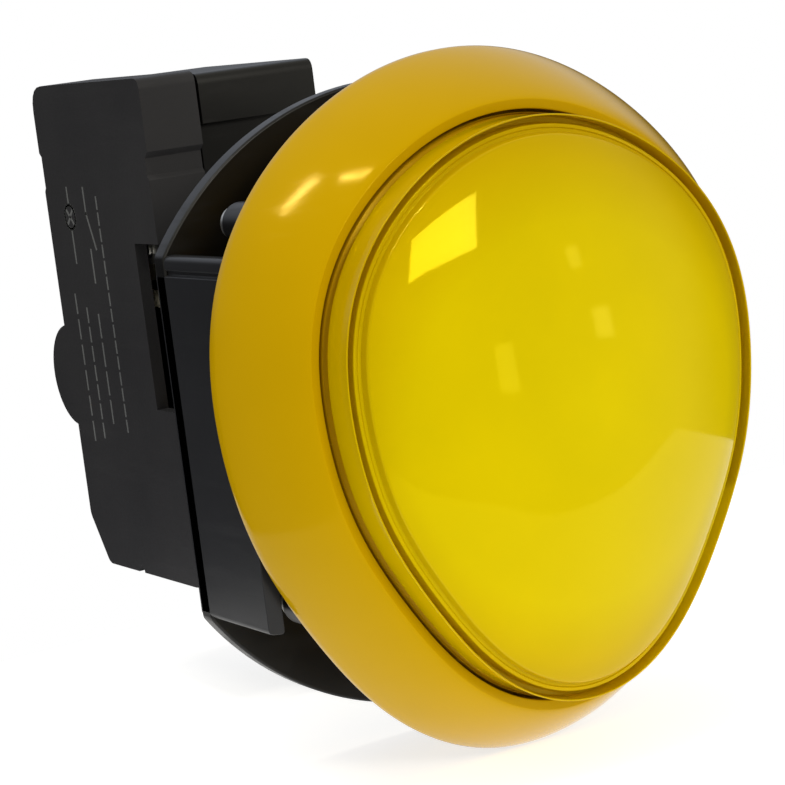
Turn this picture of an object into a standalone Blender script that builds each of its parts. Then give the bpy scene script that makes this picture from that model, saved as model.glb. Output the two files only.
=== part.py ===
"""Illuminated quiz buzzer button with a rounded-triangle face, a black body and a lamp and switch block.

Frame: origin on the button's axis, in the plane of the bezel's underside, where it seats on a panel.
+Y runs along the axis to the rear, so the button is pressed along +Y. +Z is up, and the face's narrow
end points down. Sizes are in metres.
"""

import math

import bmesh
import bpy
from mathutils import Vector

MM = 0.001
GAP = 0.3 * MM
SEAM_STEP = 0.05 * MM
OVERSHOOT = 1.0 * MM

# Face outline: a polar curve, radius against the angle from straight down
FACE_RADIUS = 21.6 * MM
FACE_HARMONICS = {2: 0.106, 3: 0.048, 4: 0.018, 5: 0.010, 6: 0.008}
FACE_RISE = 1.2 * MM
FACE_SIDES = 64

# Bezel: offsets are measured outwards from the face outline
BEZEL_INNER = 2.1 * MM
BEZEL_LIP = 2.96 * MM
BEZEL_OUTER = 8.07 * MM
BEZEL_FRONT = -9.1 * MM
BEZEL_LIP_ROUND = 0.7 * MM
BEZEL_EDGE_ROUND = 0.3 * MM
BEZEL_SWELL = 1.22
COLLAR_OUTER = 3.2 * MM
COLLAR_REAR = 7.0 * MM
GASKET_INNER = 4.1 * MM
GASKET_OUTER = 6.9 * MM
GASKET_FRONT = -0.6 * MM
GASKET_REAR = 0.4 * MM

# Frame behind the bezel
FRAME_RADIUS = 30.0 * MM
FRAME_FLAT = 24.8 * MM
FRAME_FRONT = 0.7 * MM
FRAME_REAR = 14.0 * MM
STRAP_THICK = 1.6 * MM
PLATE_THICK = 2.0 * MM
PLATE_FRONT = FRAME_REAR - PLATE_THICK
FLANGE_THICK = 1.7 * MM
FLANGE_INNER = 3.5 * MM
FLANGE_OUTER = 5.1 * MM
BARREL_OUTER = 9.0 * MM
BARREL_INNER = 7.6 * MM
BARREL_REAR = 35.7 * MM

# Screws from the frame's ears into the bezel: angles from straight down
SCREW_ANGLES = (47, 133, 227, 313)
SCREW_OFFSET = 5.4 * MM
EAR_RADIUS = 1.9 * MM
EAR_REAR = 4.5 * MM
SCREW_HEAD_RADIUS = 1.6 * MM
SCREW_HEAD_HEIGHT = 1.4 * MM
SCREW_RECESS_RADIUS = 0.6 * MM
SCREW_RECESS_DEPTH = 0.3 * MM
SCREW_HEAD_ROUND = 0.5 * MM
SCREW_SHANK_RADIUS = 0.7 * MM
SCREW_POINT_LENGTH = 0.8 * MM
SCREW_HOLE_RADIUS = 0.95 * MM
SCREW_TIP = -3.0 * MM

# Plunger and lens
PLUNGER_OUTER = 1.5 * MM
PLUNGER_INNER = -0.1 * MM
PLUNGER_FRONT = -11.1 * MM
PLUNGER_REAR = 8.5 * MM
PLUNGER_STOP_OUTER = 2.9 * MM
PLUNGER_STOP_FRONT = COLLAR_REAR + GAP
FLOOR_FRONT = 2.4 * MM
FLOOR_REAR = 4.0 * MM
FLOOR_OPENING = 9.0 * MM
LEG_INNER = 9.5 * MM
LEG_OUTER = 12.0 * MM
LEG_TOP = -1.3 * MM
LEG_BOTTOM = -3.6 * MM
LEG_CLEARANCE = 0.6 * MM
LEG_INNER_CLEARANCE = 0.4 * MM
ACTUATOR_LEG_REAR = 40.9 * MM
GUIDE_LEG_REAR = 20.5 * MM
LENS_BASE = -12.9 * MM
LENS_DOME = 4.2 * MM
LENS_WALL = 1.8 * MM
LENS_RIM_OUTER = 1.45 * MM
LENS_SKIRT_OUTER = -0.4 * MM
LENS_SKIRT_INNER = -1.6 * MM
LENS_SKIRT_REAR = -8.0 * MM
LENS_CENTRE_SCALE = 0.2
DIFFUSER_OFFSET = -0.6 * MM
DIFFUSER_FRONT = -7.7 * MM
DIFFUSER_REAR = -6.5 * MM

# Return springs between the plunger's floor and the frame's rear plate
SPRING_PLACES = ((-9, -13.5), (9, -13.5), (-11, 15), (11, 15))
SPRING_RADIUS = 2.3 * MM
SPRING_WIRE = 0.25 * MM
SPRING_TURNS = 4
SPRING_STEPS = 9
SPRING_POST_RADIUS = 1.5 * MM
SPRING_POST_FRONT = 9.1 * MM

# Lamp and switch block
BLOCK_FRONT = 36.3 * MM
BLOCK_REAR = 62.9 * MM
BLOCK_BOTTOM = -19.8 * MM
BLOCK_TOP = 32.6 * MM
BLOCK_LEFT = -13.6 * MM
BLOCK_SEAM = -7.3 * MM
BLOCK_RIGHT = 6.3 * MM
BLOCK_WALL = 1.3 * MM
BLOCK_CORNER = 1.4 * MM
BLOCK_REAR_CORNER = 2.8 * MM
CHAMFER_UP = 5.0 * MM
CHAMFER_ALONG = 3.4 * MM
BOSS_RADIUS = 5.6 * MM
BOSS_CENTRE_Y = 61.7 * MM
BOSS_CENTRE_Z = 1.0 * MM
SLOT_TOP = 15.9 * MM
SLOT_BOTTOM = -1.4 * MM
SLOT_REAR = 41.8 * MM
CHAMBER_FRONT_WALL = 3.0 * MM
CHAMBER_REAR_WALL = 2.0 * MM
CHAMBER_TOP_WALL = 2.2 * MM
CHAMBER_RIGHT_WALL = 3.0 * MM
CHAMBER_FLOOR = 1.8 * MM
LAMP_BORE = 6.2 * MM
LAMP_BORE_REAR = 56.0 * MM
LATCH_FRONT = 38.0 * MM
LATCH_REAR = 56.5 * MM
LATCH_FRONT_DROP = 2.6 * MM
LATCH_REAR_DROP = 0.5 * MM
LATCH_LEFT = -6.0 * MM
LATCH_RIGHT = 4.0 * MM

# Switch mechanism
LEVER_PIVOT_Y = 42.5 * MM
LEVER_PIVOT_Z = 15.0 * MM
LEVER_FACE = ACTUATOR_LEG_REAR + GAP
LEVER_THICK = 0.5 * MM
LEVER_END_Z = -3.4 * MM
AXLE_RADIUS = 0.6 * MM
AXLE_PLAY = 0.25 * MM
LEVER_EYE_RADIUS = 1.5 * MM
SWITCH_LEFT = -11.7 * MM
SWITCH_RIGHT = -9.3 * MM
SWITCH_MIDDLE = (SWITCH_LEFT + SWITCH_RIGHT) / 2
PIN_RADIUS = 0.9 * MM
PIN_Z = 9.6 * MM
BLADE_Y = 49.8 * MM
BLADE_THICK = 0.4 * MM
BLADE_PIVOT_Z = 27.0 * MM
BLADE_END_Z = 8.4 * MM
CONTACT_Z = 12.6 * MM
CONTACT_RADIUS = 1.1 * MM
BLADE_TIP_RADIUS = 0.9 * MM
CONTACT_HEIGHT = 0.7 * MM
CONTACT_STANDS = 0.5 * MM
CONTACT_OPENING = 0.9 * MM

# Terminals: tabs for 4.8 x 0.8 mm push-on connectors
TAB_REAR = 70.0 * MM
TAB_THICK = 0.8 * MM
TAB_LEFT = -6.6 * MM
TAB_RIGHT = -1.8 * MM
TAB_HEIGHTS = {"common": 27.0 * MM, "closed": 20.0 * MM, "open": 13.0 * MM}
TAB_SLOT_DEPTH = 4.0 * MM
PLATE_HALF_HEIGHT = 1.3 * MM
ROOT_BELOW = 2.4 * MM
ROOT_ABOVE = 1.6 * MM

# Lamp: a wedge-base bulb and its socket
GLASS_RADIUS = 5.0 * MM
GLASS_FRONT = 23.0 * MM
GLASS_REAR = 43.9 * MM
GLASS_WALL = 0.6 * MM
GLASS_NECK_OUTER = 3.6 * MM
GLASS_NECK_INNER = 2.9 * MM
GLASS_SHOULDER = 4.0 * MM
STEM_RADIUS = 2.4 * MM
STEM_LENGTH = 2.4 * MM
WEDGE_REAR = 51.5 * MM
WEDGE_HALF_WIDTH = 4.6 * MM
WEDGE_HALF_THICK = 1.1 * MM
FILAMENT_WIRE = 0.18 * MM
FILAMENT_Y = 31.5 * MM
FILAMENT_HALF_SPAN = 1.9 * MM
FILAMENT_COIL_RADIUS = 0.6 * MM
FILAMENT_TURNS = 4
FILAMENT_STEPS = 6
SOCKET_FRONT = 44.9 * MM
SOCKET_SLOT_REAR = 53.5 * MM
SOCKET_SLOT_HALF_WIDTH = 4.95 * MM
SOCKET_SLOT_HALF_THICK = 2.4 * MM
LAMP_TAB_HALF_WIDTH = 2.4 * MM
LAMP_TAB_INNER = 3.0 * MM
LAMP_TAB_OUTER = LAMP_TAB_INNER + TAB_THICK
LAMP_CONTACT_INNER = 1.45 * MM
LAMP_CONTACT_OUTER = 2.05 * MM
LAMP_CONTACT_FRONT = 45.5 * MM
LAMP_BRIDGE_FRONT = 51.9 * MM


def clear_scene():
    for item in list(bpy.data.objects):
        bpy.data.objects.remove(item, do_unlink=True)


def new_collection(name):
    group = bpy.data.collections.new(name)
    bpy.context.scene.collection.children.link(group)
    return group


clear_scene()
PARTS = new_collection("quiz_buzzer")
CUTTERS = new_collection("cutters")
CUTTERS.hide_render = True


def material(name, colour, roughness, metallic=0.0, alpha=1.0, transmission=0.0):
    made = bpy.data.materials.new(name)
    made.use_nodes = True
    shader = made.node_tree.nodes["Principled BSDF"]
    shader.inputs["Base Color"].default_value = (*colour, 1.0)
    shader.inputs["Roughness"].default_value = roughness
    shader.inputs["Metallic"].default_value = metallic
    shader.inputs["Alpha"].default_value = alpha
    shader.inputs["Transmission Weight"].default_value = transmission
    return made


# ---------------------------------------------------------------- building blocks

def add(name, mesh, finish, smooth_angle=35):
    """An object of the model, from a finished mesh."""
    mesh.materials.append(finish)
    mesh.shade_smooth()
    mesh.set_sharp_from_angle(angle=math.radians(smooth_angle))
    made = bpy.data.objects.new(name, mesh)
    PARTS.objects.link(made)
    return made


def helper(made):
    """Makes an object a cutter or a piece to be joined, which isn't part of the model."""
    for group in list(made.users_collection):
        group.objects.unlink(made)
    CUTTERS.objects.link(made)
    made.hide_render = True
    made.display_type = "WIRE"
    return made


def mesh_from(name, build):
    """A mesh that the function build fills, with its faces turned outwards."""
    work = bmesh.new()
    build(work)
    bmesh.ops.recalc_face_normals(work, faces=work.faces)
    mesh = bpy.data.meshes.new(name)
    work.to_mesh(mesh)
    work.free()
    return mesh


def boolean(target, tool, operation):
    step = target.modifiers.new(operation.lower(), "BOOLEAN")
    step.operation = operation
    step.object = helper(tool)
    step.solver = "EXACT"
    return target


def box(name, low, high, finish):
    """A box between two opposite corners, which may be given in either order along each axis."""
    first = Vector(low)
    second = Vector(high)
    size = [abs(a - b) for a, b in zip(first, second)]

    def build(work):
        bmesh.ops.create_cube(work, size=1.0)
        bmesh.ops.scale(work, vec=size, verts=work.verts)

    made = add(name, mesh_from(name, build), finish)
    made.location = (first + second) / 2
    return made


def cylinder(name, centre, radius, front, rear, finish, sides=24):
    """A cylinder along Y between two depths. Centre is its axis's (x, z)."""
    def build(work):
        bmesh.ops.create_cone(
            work, cap_ends=True, segments=sides, radius1=radius, radius2=radius, depth=rear - front
        )

    made = add(name, mesh_from(name, build), finish)
    made.rotation_euler = (-math.pi / 2, 0, 0)
    made.location = (centre[0], (front + rear) / 2, centre[1])
    return made


def cross_cylinder(name, centre, radius, left, right, finish, sides=16):
    """A cylinder along X between two places. Centre is its axis's (y, z)."""
    made = cylinder(name, (0, 0), radius, left, right, finish, sides)
    made.rotation_euler = (0, math.pi / 2, 0)
    made.location = ((left + right) / 2, centre[0], centre[1])
    return made


def turned(name, centre, profile, finish, sides=32, ring=False):
    """A solid turned about an axis along Y. The profile is (radius, y) and runs from the rear to the front
    along its outer side. A ring's profile closes on itself."""
    mesh = bpy.data.meshes.new(name)
    points = [(radius, 0, y) for radius, y in profile]
    edges = [(i, i + 1) for i in range(len(points) - 1)]
    if ring:
        edges.append((len(points) - 1, 0))
    mesh.from_pydata(points, edges, [])
    made = add(name, mesh, finish)
    made.rotation_euler = (-math.pi / 2, 0, 0)
    made.location = (centre[0], 0, centre[1])
    turn = made.modifiers.new("turned", "SCREW")
    turn.angle = 2 * math.pi
    turn.steps = sides
    turn.render_steps = sides
    turn.use_merge_vertices = True
    turn.merge_threshold = 0.00001
    turn.use_smooth_shade = True
    return made


def wire(name, points, radius, finish):
    """A round wire through points, with closed ends."""
    curve = bpy.data.curves.new(name, "CURVE")
    curve.dimensions = "3D"
    curve.bevel_depth = radius
    curve.bevel_resolution = 1
    curve.use_fill_caps = True
    spline = curve.splines.new("POLY")
    spline.points.add(len(points) - 1)
    for i, point in enumerate(points):
        spline.points[i].co = (*point, 1)
    curve.materials.append(finish)
    made = bpy.data.objects.new(name, curve)
    PARTS.objects.link(made)
    return made


def face_point(angle, offset=0.0, scale=1.0):
    """A point (x, z) on the face outline, moved outwards by offset and then scaled about its middle."""
    def polar(turn):
        waves = sum(size * math.cos(order * turn) for order, size in FACE_HARMONICS.items())
        radius = FACE_RADIUS * (1 + waves)
        return Vector((radius * math.sin(turn), -radius * math.cos(turn)))

    step = 0.001
    along = polar(angle + step) - polar(angle - step)
    outward = Vector((along.y, -along.x)).normalized()
    place = (polar(angle) + outward * offset) * scale
    return place.x, place.y + FACE_RISE


def face_ring(offset, y, scale=1.0):
    """Points around the face outline at one depth."""
    ring = []
    for i in range(FACE_SIDES):
        x, z = face_point(2 * math.pi * i / FACE_SIDES, offset, scale)
        ring.append((x, y, z))
    return ring


def round_ring(radius, y):
    """Points around a circle about the axis, in step with face_ring."""
    turns = [2 * math.pi * i / FACE_SIDES for i in range(FACE_SIDES)]
    return [(radius * math.sin(turn), y, -radius * math.cos(turn)) for turn in turns]


def bridge(work, near, far):
    """Faces between two rows of as many points."""
    count = len(near)
    for i in range(count):
        j = (i + 1) % count
        work.faces.new((near[i], near[j], far[j], far[i]))


def fan(work, row):
    """A cap over a row of points, as triangles round its middle."""
    count = len(row)
    hub = work.verts.new(sum((vert.co for vert in row), Vector()) / count)
    for i in range(count):
        work.faces.new((row[i], row[(i + 1) % count], hub))


def loft(name, rings, finish, open_after=None, smooth_angle=35):
    """A solid through rings of points, whose last ring joins its first. With open_after, the loft breaks
    after that ring, and the two rings at the break are capped."""
    def build(work):
        rows = [[work.verts.new(point) for point in ring] for ring in rings]
        for i, row in enumerate(rows):
            if i != open_after:
                bridge(work, row, rows[(i + 1) % len(rows)])
        if open_after is not None:
            fan(work, rows[open_after])
            fan(work, rows[open_after + 1])

    return add(name, mesh_from(name, build), finish, smooth_angle)


def prism(name, outline, left, right, finish):
    """A flat outline of (y, z) points, extruded along X."""
    def build(work):
        near = [work.verts.new((left, y, z)) for y, z in outline]
        far = [work.verts.new((right, y, z)) for y, z in outline]
        work.faces.new(near)
        work.faces.new(far)
        bridge(work, near, far)

    return add(name, mesh_from(name, build), finish, smooth_angle=30)


def arc(centre, radius, start, end, steps):
    """Points on an arc, with angles in degrees from the first axis towards the second."""
    points = []
    for i in range(steps + 1):
        turn = math.radians(start + (end - start) * i / steps)
        points.append((centre[0] + radius * math.cos(turn), centre[1] + radius * math.sin(turn)))
    return points


def screw_place(angle):
    """Where a bezel screw's axis meets the panel's plane: (x, z)."""
    return face_point(math.radians(angle), SCREW_OFFSET)


# ---------------------------------------------------------------- front: bezel, gasket, frame, screws

def bezel_swell():
    """The bezel's visible slope, from its lip to its edge: a flattened quarter round."""
    width = BEZEL_OUTER - BEZEL_LIP
    height = -BEZEL_FRONT - BEZEL_EDGE_ROUND
    points = []
    for turn in (12, 24, 36, 48, 60, 72, 82, 90):
        across = math.sin(math.radians(turn)) ** (2 / BEZEL_SWELL)
        forward = max(math.cos(math.radians(turn)), 0.0) ** (2 / BEZEL_SWELL)
        points.append((BEZEL_LIP + width * across, -BEZEL_EDGE_ROUND - height * forward))
    return points


def make_bezel(finish):
    """The yellow surround, with a collar that guides the plunger and a groove for the gasket."""
    groove_floor = GASKET_FRONT - GAP
    profile = [
        (BEZEL_INNER, COLLAR_REAR),
        (BEZEL_INNER, BEZEL_FRONT + BEZEL_LIP_ROUND),
        ((BEZEL_INNER + BEZEL_LIP) / 2, BEZEL_FRONT + BEZEL_LIP_ROUND / 3),
        (BEZEL_LIP, BEZEL_FRONT),
        *bezel_swell(),
        (BEZEL_OUTER - BEZEL_EDGE_ROUND, 0.0),
        (GASKET_OUTER + GAP, 0.0),
        (GASKET_OUTER + GAP, groove_floor),
        (GASKET_INNER - GAP, groove_floor),
        (GASKET_INNER - GAP, 0.0),
        (COLLAR_OUTER, 0.0),
        (COLLAR_OUTER, COLLAR_REAR),
    ]
    bezel = loft("bezel", [face_ring(offset, y) for offset, y in profile], finish)
    for i, angle in enumerate(SCREW_ANGLES):
        hole = cylinder(
            f"bezel_screw_hole_{i + 1}", screw_place(angle), SCREW_HOLE_RADIUS,
            SCREW_TIP - GAP, OVERSHOOT, finish, sides=12,
        )
        boolean(bezel, hole, "DIFFERENCE")


def make_gasket(finish):
    rings = [
        face_ring(GASKET_INNER, GASKET_FRONT),
        face_ring(GASKET_OUTER, GASKET_FRONT),
        face_ring(GASKET_OUTER, GASKET_REAR),
        face_ring(GASKET_INNER, GASKET_REAR),
    ]
    gasket = loft("panel_gasket", rings, finish)
    for i, angle in enumerate(SCREW_ANGLES):
        hole = cylinder(
            f"gasket_screw_hole_{i + 1}", screw_place(angle), SCREW_HOLE_RADIUS,
            GASKET_FRONT - OVERSHOOT, GASKET_REAR + OVERSHOOT, finish, sides=12,
        )
        boolean(gasket, hole, "DIFFERENCE")


def frame_body(finish):
    """A short round body with a flat on each side, hollowed to two straps and the plate behind them."""
    flat_turn = math.degrees(math.acos(FRAME_FLAT / FRAME_RADIUS))
    outline = arc((0, 0), FRAME_RADIUS, flat_turn, 180 - flat_turn, 18)
    outline += arc((0, 0), FRAME_RADIUS, 180 + flat_turn, 360 - flat_turn, 18)
    front = FRAME_FRONT + SEAM_STEP

    def build(work):
        near = [work.verts.new((x, front, z)) for x, z in outline]
        far = [work.verts.new((x, FRAME_REAR, z)) for x, z in outline]
        work.faces.new(near)
        work.faces.new(far)
        bridge(work, near, far)

    body = add("housing_frame", mesh_from("housing_frame", build), finish)
    between = FRAME_FLAT - STRAP_THICK
    reach = FRAME_RADIUS + OVERSHOOT
    window = box(
        "frame_window", (-between, front - OVERSHOOT, -reach), (between, PLATE_FRONT, reach), finish
    )
    return boolean(body, window, "DIFFERENCE")


def make_frame(finish):
    """Front flange with screw ears, side straps, rear plate with spring posts, and lamp barrel, in one."""
    frame = frame_body(finish)
    flange_rear = FRAME_FRONT + FLANGE_THICK
    rings = [
        face_ring(FLANGE_INNER, FRAME_FRONT),
        face_ring(FLANGE_OUTER, FRAME_FRONT),
        face_ring(FLANGE_OUTER, flange_rear),
        face_ring(FLANGE_INNER, flange_rear),
    ]
    boolean(frame, loft("frame_flange", rings, finish), "UNION")
    for i, angle in enumerate(SCREW_ANGLES):
        ear = cylinder(
            f"frame_ear_{i + 1}", screw_place(angle), EAR_RADIUS,
            FRAME_FRONT + SEAM_STEP, EAR_REAR, finish, sides=18,
        )
        boolean(frame, ear, "UNION")
    for i, (x, z) in enumerate(SPRING_PLACES):
        post = cylinder(
            f"frame_spring_post_{i + 1}", (x * MM, z * MM), SPRING_POST_RADIUS,
            SPRING_POST_FRONT, PLATE_FRONT + PLATE_THICK / 2, finish, sides=12,
        )
        boolean(frame, post, "UNION")
    barrel = cylinder(
        "frame_barrel", (0, 0), BARREL_OUTER, PLATE_FRONT + PLATE_THICK / 2, BARREL_REAR, finish, sides=32
    )
    boolean(frame, barrel, "UNION")
    bore = cylinder(
        "frame_barrel_bore", (0, 0), BARREL_INNER, PLATE_FRONT - OVERSHOOT, BARREL_REAR + OVERSHOOT,
        finish, sides=32,
    )
    boolean(frame, bore, "DIFFERENCE")
    for i, angle in enumerate(SCREW_ANGLES):
        hole = cylinder(
            f"frame_screw_hole_{i + 1}", screw_place(angle), SCREW_HOLE_RADIUS,
            FRAME_FRONT - OVERSHOOT, EAR_REAR + OVERSHOOT, finish, sides=12,
        )
        boolean(frame, hole, "DIFFERENCE")
    for side in (-1, 1):
        slot = box(
            f"frame_leg_slot_{side}",
            (side * (LEG_INNER - LEG_INNER_CLEARANCE), PLATE_FRONT - OVERSHOOT, LEG_BOTTOM - LEG_CLEARANCE),
            (side * (LEG_OUTER + LEG_CLEARANCE), FRAME_REAR + OVERSHOOT, LEG_TOP + LEG_CLEARANCE),
            finish,
        )
        boolean(frame, slot, "DIFFERENCE")


def make_screws(finish):
    """Round-headed screws with a driver recess."""
    head_front = EAR_REAR + GAP
    head_rear = head_front + SCREW_HEAD_HEIGHT
    recess = head_rear - SCREW_RECESS_DEPTH
    profile = [
        (0.0, recess),
        (SCREW_RECESS_RADIUS, recess),
        (SCREW_RECESS_RADIUS + SCREW_RECESS_DEPTH, head_rear),
        (SCREW_HEAD_RADIUS - SCREW_HEAD_ROUND, head_rear),
        (SCREW_HEAD_RADIUS, head_rear - SCREW_HEAD_ROUND),
        (SCREW_HEAD_RADIUS, head_front),
        (SCREW_SHANK_RADIUS, head_front),
        (SCREW_SHANK_RADIUS, SCREW_TIP + SCREW_POINT_LENGTH),
        (0.0, SCREW_TIP),
    ]
    for i, angle in enumerate(SCREW_ANGLES):
        turned(f"bezel_screw_{i + 1}", screw_place(angle), profile, finish, sides=16)


# ---------------------------------------------------------------- button: plunger, lens, diffuser, springs

def make_plunger(finish):
    """The moving cup under the lens: a wall, a stop flange, a holed floor and two legs."""
    rings = [
        face_ring(PLUNGER_OUTER, PLUNGER_FRONT),
        face_ring(PLUNGER_OUTER, PLUNGER_STOP_FRONT),
        face_ring(PLUNGER_STOP_OUTER, PLUNGER_STOP_FRONT),
        face_ring(PLUNGER_STOP_OUTER, PLUNGER_REAR),
        face_ring(PLUNGER_INNER, PLUNGER_REAR),
        face_ring(PLUNGER_INNER, FLOOR_REAR),
        round_ring(FLOOR_OPENING, FLOOR_REAR),
        round_ring(FLOOR_OPENING, FLOOR_FRONT),
        face_ring(PLUNGER_INNER, FLOOR_FRONT),
        face_ring(PLUNGER_INNER, PLUNGER_FRONT),
    ]
    plunger = loft("plunger", rings, finish)
    for side, rear in ((-1, ACTUATOR_LEG_REAR), (1, GUIDE_LEG_REAR)):
        leg = box(
            f"plunger_leg_{side}",
            (side * LEG_INNER, (FLOOR_FRONT + FLOOR_REAR) / 2, LEG_BOTTOM),
            (side * LEG_OUTER, rear, LEG_TOP),
            finish,
        )
        boolean(plunger, leg, "UNION")


def dome(scale):
    """Height of the dome at a share of the way out, from 1 at the middle to 0 at the edge."""
    return (1 - scale ** 2.4) ** 0.8


def make_lens(finish):
    """Domed cap with a double-stepped rim and a skirt that snaps into the plunger."""
    rim = [
        (LENS_SKIRT_OUTER, LENS_SKIRT_REAR),
        (LENS_SKIRT_OUTER, PLUNGER_FRONT - GAP),
        (LENS_RIM_OUTER, PLUNGER_FRONT - GAP),
        (LENS_RIM_OUTER, LENS_BASE + 0.75 * MM),
        (1.2 * MM, LENS_BASE + 0.5 * MM),
        (0.8 * MM, LENS_BASE + 0.45 * MM),
        (0.7 * MM, LENS_BASE),
        (0.25 * MM, LENS_BASE - 0.05 * MM),
        (0.1 * MM, LENS_BASE + 0.2 * MM),
        (0.0, LENS_BASE + 0.15 * MM),
    ]
    rings = [face_ring(offset, y) for offset, y in rim]
    for scale in (0.985, 0.95, 0.88, 0.77, 0.62, 0.42, LENS_CENTRE_SCALE):
        rings.append(face_ring(0.0, LENS_BASE - LENS_DOME * dome(scale), scale))
    outer_last = len(rings) - 1
    for scale in (LENS_CENTRE_SCALE, 0.42, 0.62, 0.77, 0.88):
        rings.append(face_ring(0.0, LENS_BASE + LENS_WALL - LENS_DOME * dome(scale), scale))
    rings.append(face_ring(LENS_SKIRT_INNER, PLUNGER_FRONT - 2 * GAP))
    rings.append(face_ring(LENS_SKIRT_INNER, LENS_SKIRT_REAR))
    loft("lens", rings, finish, open_after=outer_last, smooth_angle=30)


def make_diffuser(finish):
    """A flat plate inside the plunger, between the lens and the lamp."""
    rings = [face_ring(DIFFUSER_OFFSET, DIFFUSER_REAR), face_ring(DIFFUSER_OFFSET, DIFFUSER_FRONT)]

    def build(work):
        rear, front = [[work.verts.new(point) for point in ring] for ring in rings]
        bridge(work, rear, front)
        fan(work, rear)
        fan(work, front)

    add("diffuser", mesh_from("diffuser", build), finish)


def make_springs(finish):
    front = FLOOR_REAR + GAP + SPRING_WIRE
    rear = PLATE_FRONT - GAP - SPRING_WIRE
    count = SPRING_TURNS * SPRING_STEPS
    for number, (x, z) in enumerate(SPRING_PLACES):
        points = []
        for i in range(count + 1):
            turn = 2 * math.pi * i / SPRING_STEPS
            across = SPRING_RADIUS * math.cos(turn)
            up = SPRING_RADIUS * math.sin(turn)
            points.append((x * MM + across, front + (rear - front) * i / count, z * MM + up))
        wire(f"return_spring_{number + 1}", points, SPRING_WIRE, finish)


# ---------------------------------------------------------------- lamp and switch block

def block_outline(inset=0.0):
    """The block's side outline as (y, z): a tall plate with a chamfered lower rear corner and a half-round
    boss at the lamp's height."""
    front = BLOCK_FRONT + inset
    rear = BLOCK_REAR - inset
    top = BLOCK_TOP - inset
    bottom = BLOCK_BOTTOM + inset
    radius = BOSS_RADIUS - inset
    reach = math.degrees(math.acos((rear - BOSS_CENTRE_Y) / radius))
    outline = []
    outline += arc((front + BLOCK_CORNER, top - BLOCK_CORNER), BLOCK_CORNER, 180, 90, 3)
    outline += arc((rear - BLOCK_REAR_CORNER, top - BLOCK_REAR_CORNER), BLOCK_REAR_CORNER, 90, 0, 4)
    outline += arc((BOSS_CENTRE_Y, BOSS_CENTRE_Z), radius, reach, -reach, 8)
    outline.append((rear, bottom + CHAMFER_UP))
    outline.append((rear - CHAMFER_ALONG, bottom))
    outline += arc((front + BLOCK_CORNER, bottom + BLOCK_CORNER), BLOCK_CORNER, 270, 180, 3)
    return outline


def make_block_cover(finish):
    """The moulded side cover: a shallow shell open towards the base, slotted for the lever at its front."""
    cover = prism("block_cover", block_outline(), BLOCK_LEFT, BLOCK_SEAM, finish)
    hollow = prism(
        "cover_hollow", block_outline(BLOCK_WALL), BLOCK_LEFT + BLOCK_WALL, BLOCK_SEAM + OVERSHOOT, finish
    )
    boolean(cover, hollow, "DIFFERENCE")
    slot = box(
        "cover_slot",
        (BLOCK_LEFT - OVERSHOOT, BLOCK_FRONT - OVERSHOOT, SLOT_BOTTOM),
        (BLOCK_SEAM + OVERSHOOT, SLOT_REAR, SLOT_TOP),
        finish,
    )
    boolean(cover, slot, "DIFFERENCE")
    leg_way = box(
        "cover_leg_way",
        (BLOCK_LEFT + BLOCK_WALL, BLOCK_FRONT - OVERSHOOT, LEG_BOTTOM - LEG_CLEARANCE),
        (BLOCK_SEAM + OVERSHOOT, BLOCK_FRONT + 2 * BLOCK_WALL, SLOT_BOTTOM + OVERSHOOT),
        finish,
    )
    boolean(cover, leg_way, "DIFFERENCE")


def make_block_base(finish):
    """The block's body: lamp bore along the axis, switch chamber open to the cover, and terminal slots."""
    left = BLOCK_SEAM + GAP
    base = prism("block_base", block_outline(), left, BLOCK_RIGHT, finish)
    bore = cylinder(
        "base_lamp_bore", (0, 0), LAMP_BORE, BLOCK_FRONT - OVERSHOOT, LAMP_BORE_REAR, finish, sides=32
    )
    boolean(base, bore, "DIFFERENCE")
    chamber = box(
        "base_switch_chamber",
        (left - OVERSHOOT, BLOCK_FRONT + CHAMBER_FRONT_WALL, LAMP_BORE + CHAMBER_FLOOR),
        (BLOCK_RIGHT - CHAMBER_RIGHT_WALL, BLOCK_REAR - CHAMBER_REAR_WALL, BLOCK_TOP - CHAMBER_TOP_WALL),
        finish,
    )
    boolean(base, chamber, "DIFFERENCE")
    for name, z in TAB_HEIGHTS.items():
        half = TAB_THICK / 2 + GAP
        slot = box(
            f"base_tab_slot_{name}",
            (TAB_LEFT - GAP, BLOCK_REAR - TAB_SLOT_DEPTH, z - half),
            (TAB_RIGHT + GAP, BLOCK_REAR + OVERSHOOT, z + half),
            finish,
        )
        boolean(base, slot, "DIFFERENCE")
    boss_rear = BOSS_CENTRE_Y + BOSS_RADIUS
    for side in (-1, 1):
        slot = box(
            f"base_lamp_slot_{side}",
            (-LAMP_TAB_HALF_WIDTH - GAP, LAMP_BORE_REAR - OVERSHOOT, side * (LAMP_TAB_INNER - GAP)),
            (LAMP_TAB_HALF_WIDTH + GAP, boss_rear + OVERSHOOT, side * (LAMP_TAB_OUTER + GAP)),
            finish,
        )
        boolean(base, slot, "DIFFERENCE")
    latch_outline = [
        (LATCH_FRONT, BLOCK_BOTTOM + OVERSHOOT),
        (LATCH_REAR, BLOCK_BOTTOM + OVERSHOOT),
        (LATCH_REAR, BLOCK_BOTTOM - LATCH_REAR_DROP),
        (LATCH_FRONT, BLOCK_BOTTOM - LATCH_FRONT_DROP),
    ]
    boolean(base, prism("base_latch", latch_outline, LATCH_LEFT, LATCH_RIGHT, finish), "UNION")


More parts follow.
